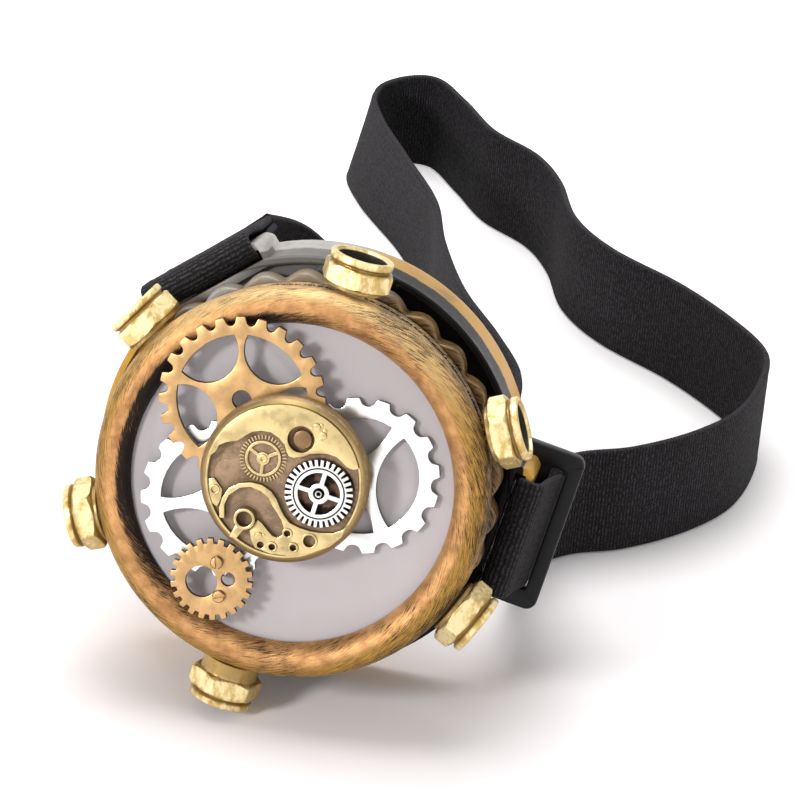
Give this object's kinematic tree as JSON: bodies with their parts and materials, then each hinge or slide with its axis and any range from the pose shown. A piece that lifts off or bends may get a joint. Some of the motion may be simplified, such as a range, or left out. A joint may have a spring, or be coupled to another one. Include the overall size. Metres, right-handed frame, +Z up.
{
  "type": "monocle",
  "caption": "Costume monocle: bronze goggle eyecup with a screw-on bezel, gears and a watch movement on its lens, hexagon nuts round its edge and an elastic head strap with a slide buckle.",
  "frame": {"origin": "middle of the overall box on the plane that the monocle stands on", "axes": "+Z up, +Y back along the head strap, -Y towards the viewer whom the lens faces, +X to that viewer's right. The lens leans back by 14.5 degrees."},
  "size_m": [0.1022, 0.2146, 0.0743],
  "materials": {
    "bronze_cup": "bronze paint, glossy, worn light at the edges",
    "elastic_webbing": "black ribbed elastic webbing",
    "buckle_black": "satin black moulding",
    "grip_bronze": "dark bronze paint, glossy",
    "bezel_bronze": "bronze paint with dark brushed-on ageing",
    "lens_clear": "clear flat acrylic lens",
    "gasket_black": "matt black ring",
    "silver_bright": "bright silver plating",
    "brass_antique": "antique brass, satin",
    "movement_gold": "pale gold casting with dark recesses",
    "silver_old": "antique silver plating",
    "nut_gold": "pale gold paint with light streaks"
  },
  "bodies": {
    "eyecup": {"eyecup_shell": "bronze_cup", "head_strap": "elastic_webbing"},
    "gasket": {"lens_gasket": "gasket_black"},
    "lens_cap": {"grip_ring": "grip_bronze", "bezel_ring": "bezel_bronze", "lens_disc": "lens_clear", "silver_gear_right": "silver_bright", "silver_gear_left": "silver_bright", "brass_gear_large": "brass_antique", "brass_gear_small": "brass_antique", "gear_screw_upper": "brass_antique", "gear_screw_lower": "brass_antique", "movement_plate": "movement_gold", "movement_wheel": "silver_old", "movement_wheel_pin": "silver_old", "hex_nut_1": "nut_gold", "hex_nut_2": "nut_gold", "hex_nut_3": "nut_gold", "hex_nut_4": "nut_gold", "hex_nut_5": "nut_gold", "hex_nut_6": "nut_gold"},
    "buckle": {"strap_slide_buckle": "buckle_black"}
  },
  "joints": [
    {"name": "cap_advance", "type": "slide", "parent": "eyecup", "child": "gasket", "axis": [0, -0.966, 0.2584], "range_m": [0, 0.003]},
    {"name": "cap_unscrew", "type": "hinge", "parent": "gasket", "child": "lens_cap", "pos_m": [-0.0149, -0.09672, 0.03899], "axis": [0, -0.966, 0.2584], "range_deg": [0, 720]},
    {"name": "buckle_slide", "type": "slide", "parent": "eyecup", "child": "buckle", "axis": [0, 0.966, -0.2584], "range_m": [0, 0.006]}
  ],
  "couplings": [
    {"joint": "cap_unscrew", "follows": "cap_advance", "rad_per_m": 4188.8}
  ]
}
